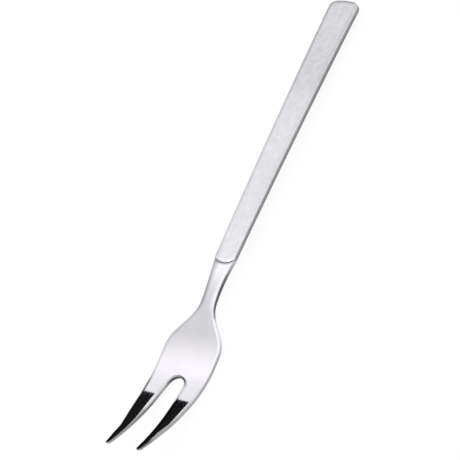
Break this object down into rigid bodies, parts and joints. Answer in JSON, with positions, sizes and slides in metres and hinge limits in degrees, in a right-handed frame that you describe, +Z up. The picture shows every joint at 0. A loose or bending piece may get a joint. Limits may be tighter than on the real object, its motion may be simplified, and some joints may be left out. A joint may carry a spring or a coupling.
{
  "type": "meat fork",
  "caption": "Meat fork with a flat satin handle that widens to its end, a curved seam and a polished neck, bowl and upswept tines, for lifting and serving sliced meat.",
  "frame": {"origin": "on the table, under the middle of the fork's length and width", "axes": "+X along the fork from the tines towards the end of the handle, +Y across it, +Z up from the table it lies on"},
  "size_m": [0.2006, 0.0254, 0.0138],
  "materials": {
    "polished_steel": "mirror polished stainless steel",
    "satin_steel": "satin, brushed along the handle",
    "silver_solder": "bare solder, hidden inside the handle",
    "handle_cement": "matt, hidden inside the handle"
  },
  "bodies": {
    "root": {"fork_head": "polished_steel", "handle_upper_shell": "satin_steel", "handle_lower_shell": "satin_steel", "seam_braze": "silver_solder", "tang_cement": "handle_cement"}
  },
  "joints": []
}
